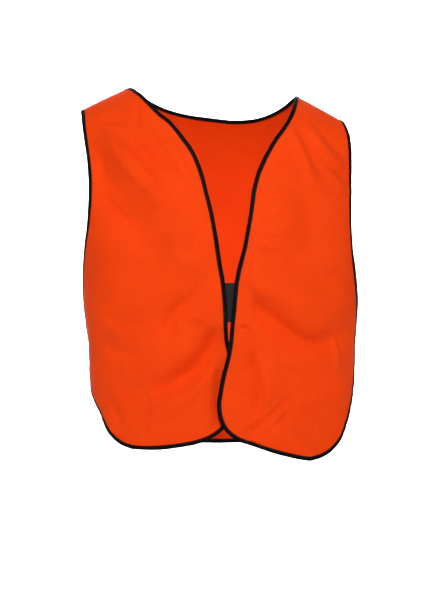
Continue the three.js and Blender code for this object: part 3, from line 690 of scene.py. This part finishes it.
def back():
    cols = [("R", k / SH) for k in range(SH + 1)]
    cols += [("N", -math.cos(math.pi * k / NK)) for k in range(1, NK)]
    cols += [("L", k / SH) for k in range(SH + 1)]
    nb = len(cols) - 1
    zone = np.array([0 if c[0] == "R" else 1 if c[0] == "N" else 2 for c in cols])
    cuu = np.array([c[1] for c in cols])
    r0, l0 = BACK_R_OUT[0][1], BACK_L_OUT[0][1]
    fr, fl = (NECK_R - r0) / (l0 - r0), (NECK_L - r0) / (l0 - r0)
    s = np.where(zone == 0, fr * cuu, np.where(zone == 2, fl + (1 - fl) * cuu, fr + (fl - fr) * (cuu + 1) / 2))
    top = np.where(zone == 1, NECK_DROP * (1 - np.abs(cuu) ** NECK_P) ** NECK_Q, 0.0)
    q = np.linspace(0, 1, RB + 1)
    t = 1 - (1 - q) ** 1.5
    T, S = np.meshgrid(t, s, indexing="ij")
    TOP = np.broadcast_to(top, T.shape)
    V = TOP + T * (BACK_R_OUT[-1][0] - TOP)
    lo, hi = interp(V, BACK_R_OUT), interp(V, BACK_L_OUT)
    A = lo + (hi - lo) * S
    J = np.broadcast_to(np.arange(nb + 1) / nb, T.shape)
    V = np.maximum(V + 3 * (1 - (J * 2 - 1) ** 2) * sm((T - 0.6) / 0.4), 0.12)
    B = on_back(A, V)
    N = base_normal(on_back, A, V, B)
    du = np.linalg.norm(np.diff(B, axis=1), axis=2)
    dv = np.linalg.norm(np.diff(B, axis=0), axis=2)
    cu = np.concatenate([np.zeros((RB + 1, 1)), np.cumsum(du, 1)], 1)
    cu = cu - cu[:, (nb // 2):(nb // 2) + 1]
    cv = TOP + np.concatenate([np.zeros((1, nb + 1)), np.cumsum(dv, 0)], 0)
    d_r, d_l = cu - cu[:, :1], cu[:, -1:] - cu
    d_hem = (cv[-1:, :] - cv)
    d_neck = np.where(zone[None, :] == 1, cv - TOP, 99.0)
    x, z = B[..., 0], B[..., 2]
    d = fold_field(x, z, FOLDS_B)
    d += 0.9 * soft_noise(x, z * 0.6, 11.0, 150) + 0.3 * soft_noise(x, z, 13.0, 55)
    edge = np.minimum(np.minimum(d_r, d_l), np.minimum(d_hem, d_neck))
    d *= (0.35 + 0.65 * sm(edge / 14.0)) * (0.1 + 0.9 * sm((V - TOP) / 55.0))
    d += edge_pucker(cv, d_r) + edge_pucker(cv + 33, d_l) + edge_pucker(cu + 500, d_hem) + np.where(zone[None, :] == 1, edge_pucker(cu + 700, d_neck), 0)
    d *= sm(V / 25.0)
    P2 = B + N * d[..., None]
    G = grid_normal(P2, N)
    G[0] = unit(G[0] * 0.2 + N[0])
    ids = np.arange((RB + 1) * (nb + 1)).reshape(RB + 1, nb + 1)
    loop = np.concatenate([ids[:, 0], ids[-1, 1:], ids[-2::-1, -1]])
    nl = ids[0, SH:nb - SH + 1]
    flat = P2.reshape(-1, 3)
    gn = G.reshape(-1, 3)

    def ring(lo_, st, en, mid):
        lp = flat[lo_]
        ln = unit(smooth_line(gn[lo_], 12))
        tt, oo = edge_frames(lp, ln, st, en)
        oo = unit(smooth_line(oo, 16))
        if (oo[mid] * (lp[mid] - flat[ids[RB // 2, nb // 2]])).sum() < 0:
            oo = -oo
        return lp, ln, tt, oo, np.concatenate([[0], np.cumsum(np.linalg.norm(np.diff(lp, axis=0), axis=1))])

    side = ring(loop, (0, 1, 0), (0, -1, 0), RB // 2)
    neck = ring(nl, (0, 1, 0), (0, -1, 0), len(nl) // 2)
    uv = np.stack([cu.ravel(), cv.ravel()], -1)
    verts = np.vstack([flat, side[0] + side[3] * 4.6, neck[0] + neck[3] * 4.6])
    norms = np.vstack([gn, side[1], neck[1]])
    uvs = np.vstack([uv, uv[loop], uv[nl] - [[0, 4.6]]]) * MM
    F = []
    for i in range(RB):
        for j in range(nb):
            F.append((ids[i, j], ids[i + 1, j], ids[i + 1, j + 1], ids[i, j + 1]))
    n0 = len(flat)
    for k in range(len(loop) - 1):
        F.append((loop[k + 1], loop[k], n0 + k, n0 + k + 1))
    n1 = n0 + len(loop)
    for k in range(len(nl) - 1):
        F.append((nl[k], nl[k + 1], n1 + k + 1, n1 + k))
    F = [tuple(int(i) for i in f) for f in F]
    ob = thick_sheet("panel_back", verts, norms, F, uvs, CLOTH_T / 2, [M_CLOTH])
    out = {"panel": ob}
    out["area"] = float((np.linalg.norm(np.cross(np.diff(P2, axis=1)[:-1], np.diff(P2, axis=0)[:, :-1]), axis=2)).sum() + (side[4][-1] + neck[4][-1]) * 4.6) * 1e-6
    e1, e2 = RB, RB + nb
    lp, ln, tt, oo, ss = side
    for nm, a, b in (("right_armhole", 0, e1), ("hem", e1, e2), ("left_armhole", e2, len(loop) - 1)):
        sl = slice(a, b + 1)
        s1 = ss[sl] - ss[a]
        out[nm] = bind_piece("tape_back_" + nm, lp[sl], ln[sl], oo[sl], ss[sl], [M_TAPE])
        out["st_" + nm] = stitch_row("stitch_back_" + nm, lp[sl], ln[sl], tt[sl], oo[sl], s1, 2.4, BIND_H * 0.95 + 0.12, M_THREAD)
    lp, ln, tt, oo, ss = neck
    out["neck"] = bind_piece("tape_back_neck", lp, ln, oo, ss, [M_TAPE])
    out["st_neck"] = stitch_row("stitch_back_neck", lp, ln, tt, oo, ss, 2.4, BIND_H * 0.95 + 0.12, M_THREAD)
    return out


bk = back()

# ---------------------------------------------------------------- shoulder seams
def seam(side):
    a0, a1 = (-51.0, -30.4) if side == "right" else (29.9, 50.4)
    nj = 40
    a = np.linspace(a0, a1, nj + 1)
    rows = [(-1, 5.2), (-1, 4.0), (-1, 2.6), (-1, 1.2), (-1, 0.2), (1, 1.2), (1, 2.6), (1, 4.0), (1, 5.2)]
    P, Nn, UV = [], [], []
    for sd, v in rows:
        f = on_front if sd < 0 else on_back
        vv = np.full(nj + 1, v)
        p = f(a, vv)
        n = base_normal(f, a, vv, p)
        off = -0.95 - 0.25 * math.cos(v * 1.3) + 0.12 * np.sin(np.arange(nj + 1) * 1.9 + v)
        P.append(p + n * off[:, None])
        Nn.append(n)
        UV.append(np.stack([np.linspace(0, 60, nj + 1), np.full(nj + 1, sd * v)], -1))
    P, Nn, UV = np.vstack(P), np.vstack(Nn), np.vstack(UV) * MM
    F = []
    w = nj + 1
    for i in range(len(rows) - 1):
        for j in range(nj):
            F.append((i * w + j, (i + 1) * w + j, (i + 1) * w + j + 1, i * w + j + 1))
    ob = thick_sheet("seam_allowance_" + side, P, Nn, F, UV, 0.3, [M_CLOTH])
    rows_out = []
    for nm, sd, v in (("front", -1, 3.4), ("back", 1, 3.4)):
        f = on_front if sd < 0 else on_back
        vv = np.full(nj + 1, v)
        p = f(a, vv)
        n = base_normal(f, a, vv, p)
        t = unit(np.gradient(p, axis=0))
        o = np.cross(t, n)
        s = np.concatenate([[0], np.cumsum(np.linalg.norm(np.diff(p, axis=0), axis=1))])
        rows_out.append(stitch_row("stitch_shoulder_%s_%s" % (side, nm), p, n, t, o, s, 0.0, CLOTH_T / 2 + 0.08, M_OTHREAD, pitch=3.0, length=2.2, r=0.2, both=False))
    return ob, rows_out


seam_r, seam_r_st = seam("right")
seam_l, seam_l_st = seam("left")

# ---------------------------------------------------------------- elastic straps
def around(a, v):
    a = np.radians(a)
    return place(pw(np.sin(a)), pw(np.cos(a)), v)


def strap(side):
    sg = -1 if side == "right" else 1
    fo, bo = (RIGHT_OUT, BACK_R_OUT) if side == "right" else (LEFT_OUT, BACK_L_OUT)
    ni, nj = 64, 48
    P = np.zeros((ni + 1, nj + 1, 3))
    Nn = np.zeros_like(P)
    for i in range(ni + 1):
        v = 386 + 25 * i / ni
        a0, b0 = float(interp(v, fo)), sg * 180 - float(interp(v, bo))
        va = np.array([v])
        mf = np.linalg.norm(around(np.array([a0 + sg]), va) - around(np.array([a0]), va))
        mb = np.linalg.norm(around(np.array([b0 + sg]), va) - around(np.array([b0]), va))
        a = a0 + sg * 1.9 / mf
        b = b0 - sg * 1.9 / mb
        p0, p1 = around(np.array([a]), va)[0], around(np.array([b]), va)[0]
        u = np.linspace(0, 1, nj + 1)
        aa = a + (b - a) * u
        P[i] = around(aa, np.full(nj + 1, v))
        Nn[i] = base_normal(around, aa, np.full(nj + 1, v), P[i])
        # even spacing along the strap, pulled a little straight
        s = np.concatenate([[0], np.cumsum(np.linalg.norm(np.diff(P[i], axis=0), axis=1))])
        ue = np.interp(np.linspace(0, s[-1], nj + 1), s, np.arange(nj + 1))
        k = np.clip(ue.astype(int), 0, nj - 1)
        f = (ue - k)[:, None]
        P[i] = P[i][k] * (1 - f) + P[i][k + 1] * f
        Nn[i] = unit(Nn[i][k] * (1 - f) + Nn[i][k + 1] * f)
        chord = p0 + (p1 - p0) * u[:, None]
        P[i] = P[i] * 0.55 + chord * 0.45
    Nn = unit(Nn + Nn.mean(axis=(0, 1)) * 1.5)
    c = P.mean(axis=0, keepdims=True)
    u = np.linspace(0, 1, nj + 1)
    narrow = 1 - 0.05 * np.sin(math.pi * u)       # stretched elastic narrows
    P = c + (P - c) * narrow[None, :, None]
    rib = 0.16 * np.abs(np.sin(np.linspace(0, 1, ni + 1) * math.pi * 12))[:, None]
    gather = 0.10 * np.sin(u * 48)[None, :] * (np.exp(-u * 9) + np.exp(-(1 - u) * 9))[None, :]
    off = -2.35 + rib + gather
    P = P + Nn * off[..., None]
    L = np.linalg.norm(np.diff(P[ni // 2], axis=0), axis=1).sum()
    UV = np.stack(np.meshgrid(np.linspace(0, 25, ni + 1), np.linspace(0, L, nj + 1), indexing="ij"), -1).reshape(-1, 2) * MM
    ids = np.arange((ni + 1) * (nj + 1)).reshape(ni + 1, nj + 1)
    F = [(int(ids[i, j]), int(ids[i + 1, j]), int(ids[i + 1, j + 1]), int(ids[i, j + 1])) for i in range(ni) for j in range(nj)]
    ob = thick_sheet("elastic_" + side, P.reshape(-1, 3), Nn.reshape(-1, 3), F, UV, 0.55, [M_ELASTIC])
    # bar of stitches at each end
    sts = []
    for e, j in (("front", 3), ("back", nj - 3)):
        p = P[4:-3, j]
        n = Nn[4:-3, j]
        t = unit(np.gradient(p, axis=0))
        o = np.cross(t, n)
        s = np.concatenate([[0], np.cumsum(np.linalg.norm(np.diff(p, axis=0), axis=1))])
        sts.append(stitch_row("stitch_strap_%s_%s" % (side, e), p, n, t, o, s, 0.0, 0.62, M_THREAD, pitch=2.6, length=1.9, r=0.22))
    return ob, sts, float(L)


strap_r, strap_r_st, len_r = strap("right")
strap_l, strap_l_st, len_l = strap("left")


# ---------------------------------------------------------------- closure
def plate(name, x0, x1, zc, h, yc, half, tilt, mat, bow=0.0, r=3.0, hooks=False):
    """sewn-on strip: rounded corners, soft edge, slightly bowed"""
    w = x1 - x0
    ni, nj = 40, 30
    u, vv = np.linspace(-1, 1, nj + 1), np.linspace(-1, 1, ni + 1)
    V, U = [], []
    for sgn in (1, -1):
        for b in vv:
            for a in u:
                X, Z = a * w / 2, b * h / 2
                ex = max(abs(X) - (w / 2 - r), 0)
                ez = max(abs(Z) - (h / 2 - r), 0)
                if ex > 0 and ez > 0:
                    k = max(ex, ez) / math.hypot(ex, ez)
                    X = math.copysign(w / 2 - r + ex * k, X)
                    Z = math.copysign(h / 2 - r + ez * k, Z)
                edge = min(w / 2 - abs(X), h / 2 - abs(Z))
                t = half * (0.35 + 0.65 * sm(np.array(edge / 1.2))) - 0.22 * math.exp(-((edge - 2.2) / 0.6) ** 2)
                y = -sgn * float(t) + bow * (1 - a * a) + 0.15 * math.sin(Z * 0.31 + a)
                V.append((x0 + w / 2 + X, yc + y + tilt * (-(Z)), zc + Z))
                U.append((X * MM, Z * MM))
    n = (ni + 1) * (nj + 1)
    ids = np.arange(n).reshape(ni + 1, nj + 1)
    F = []
    for i in range(ni):
        for j in range(nj):
            f = (int(ids[i, j]), int(ids[i, j + 1]), int(ids[i + 1, j + 1]), int(ids[i + 1, j]))
            F.append(f)
            F.append(tuple(k + n for k in reversed(f)))
    rim = list(ids[0, :]) + list(ids[1:, -1]) + list(ids[-1, -2::-1]) + list(ids[-2:0:-1, 0])
    rim = [int(k) for k in rim]
    for a, b in zip(rim, rim[1:] + rim[:1]):
        F.append((b, a, a + n, b + n))
    return new_object(name, V, F, U, [mat])


tab_box, patch_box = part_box("closure_hook_tab"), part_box("closure_loop_patch")
tb = [np.array(c) / MM for c in tab_box]
pb = [np.array(c) / MM for c in patch_box]
CLOSE_Z = (tb[0][2] + tb[1][2]) / 2
patch_y = (pb[0][1] + pb[1][1]) / 2
tab_y = patch_y + 2.6
tab = plate("hook_tab", tb[0][0], tb[1][0], CLOSE_Z, 50.0, tab_y, 0.65, 0.034, M_HOOK, bow=-0.2)
patch = plate("loop_patch", pb[0][0], pb[1][0], CLOSE_Z, 50.0, patch_y, 0.5, 0.034, M_HOOK, r=2.0)


def tab_stitch(name, x, z0, z1, y, side_y):
    n = 30
    z = np.linspace(z0, z1, n)
    p = np.stack([np.full(n, x), y - 0.034 * (z - CLOSE_Z), z], -1)
    nn = np.tile(np.array([[0, -1.0, 0]]), (n, 1))
    t = unit(np.gradient(p, axis=0))
    o = np.cross(t, nn)
    s = np.concatenate([[0], np.cumsum(np.linalg.norm(np.diff(p, axis=0), axis=1))])
    return stitch_row(name, p, nn, t, o, s, 0.0, side_y, M_THREAD, pitch=2.8, length=2.0, r=0.24)


st_tab = tab_stitch("stitch_tab", tb[1][0] - 2.6, CLOSE_Z - 23, CLOSE_Z + 23, tab_y, 0.62)
st_patch = tab_stitch("stitch_patch", pb[0][0] + 2.2, CLOSE_Z - 23, CLOSE_Z + 23, patch_y, 0.5)

# ---------------------------------------------------------------- bodies, sheets
for side, o in (("right", right), ("left", left)):
    body = side + "_front"
    for key in ("panel", "front_edge", "armhole", "st_front_edge", "st_armhole"):
        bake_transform(o[key])
    for key in ("hem", "st_hem"):
        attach(o[key], body)
    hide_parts("front_panel_" + side)
    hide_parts("binding_%s_front_edge" % side)
    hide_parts("binding_%s_hem" % side)
    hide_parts("binding_%s_armhole" % side)
for key in ("panel", "right_armhole", "hem", "left_armhole", "neck", "st_right_armhole", "st_hem", "st_left_armhole", "st_neck"):
    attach(bk[key], "back")
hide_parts("back_panel")
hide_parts("binding_back_right_armhole")
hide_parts("binding_back_left_armhole")
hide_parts("binding_back_hem")
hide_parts("binding_back_neck")
for sm_ob, st, nm in ((seam_r, seam_r_st, "right"), (seam_l, seam_l_st, "left")):
    for ob in [sm_ob] + st:
        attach(ob, "back")
    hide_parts("shoulder_seam_" + nm)
for ob, st, nm in ((strap_r, strap_r_st, "right"), (strap_l, strap_l_st, "left")):
    for q_ in [ob] + st:
        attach(q_, "back")
    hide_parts("strap_" + nm)
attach(tab, "closure_tab")
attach(st_tab, "closure_tab")
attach(patch, "right_front")
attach(st_patch, "right_front")
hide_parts("closure_hook_tab")
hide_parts("closure_loop_patch")

print("areas", right["area"], left["area"], bk["area"], "straps", len_r, len_l)

# ---------------------------------------------------------------- floor, backdrop, light
def stage_sheet():
    n = 24
    prof = [(-6.0, -1.30), (4.4, -1.30)]
    for k in range(1, n + 1):
        a = math.pi / 2 * k / n
        prof.append((4.4 + 1.0 * math.sin(a), -1.30 + 1.0 * (1 - math.cos(a))))
    prof.append((5.4, 6.0))
    V, F = [], []
    for y, z in prof:
        V += [(-9, y, z), (9, y, z)]
    for i in range(len(prof) - 1):
        F.append((2 * i, 2 * i + 1, 2 * i + 3, 2 * i + 2))
    me = bpy.data.meshes.new("studio_sweep")
    me.from_pydata(V, [], F)
    me.polygons.foreach_set("use_smooth", np.ones(len(me.polygons), dtype=bool))
    ob = bpy.data.objects.new("studio_sweep", me)
    bpy.context.scene.collection.objects.link(ob)
    m, nt, b = base_material("pale_sweep", (0.9, 0.9, 0.9), 0.9, spec=0.1)
    nz = node(nt, "ShaderNodeTexNoise")
    nz.inputs["Scale"].default_value = 3
    r = ramp(nt, nz.outputs["Fac"], [(0.3, (0.89, 0.89, 0.89)), (0.7, (0.92, 0.92, 0.92))])
    nt.links.new(r.outputs["Color"], b.inputs["Base Color"])
    me.materials.append(m)


stage_sheet()

world = bpy.data.worlds.new("world")
bpy.context.scene.world = world
world.use_nodes = True
world.node_tree.nodes["Background"].inputs["Color"].default_value = (1, 1, 1, 1)
world.node_tree.nodes["Background"].inputs["Strength"].default_value = 0.12


def area_light(name, loc, target, size, power, color=(1, 1, 1)):
    d = bpy.data.lights.new(name, "AREA")
    d.shape = "RECTANGLE"
    d.size, d.size_y = size
    d.energy = power
    d.color = color
    o = bpy.data.objects.new(name, d)
    bpy.context.scene.collection.objects.link(o)
    v = np.array(target) - np.array(loc)
    from mathutils import Vector
    o.location = loc
    o.rotation_euler = Vector(v).to_track_quat("-Z", "Y").to_euler()
    return o


area_light("key", (-0.05, -2.5, 1.45), (0, 0, -0.25), (0.35, 0.35), 65)
area_light("side", (-2.4, -1.2, 0.2), (0, 0, -0.25), (0.6, 0.9), 10)
area_light("rim", (2.4, -1.0, 0.2), (0, 0, -0.25), (0.6, 0.9), 11)
area_light("behind", (-0.6, 3.2, 1.4), (0, 0, -0.25), (0.5, 0.5), 22)
area_light("back_wall", (0.0, 3.3, 1.5), (0, 5.4, 0.6), (4.0, 0.8), 330)
area_light("floor_wash", (0.0, 2.6, 2.6), (0, 4.6, -1.3), (4.0, 0.6), 130)
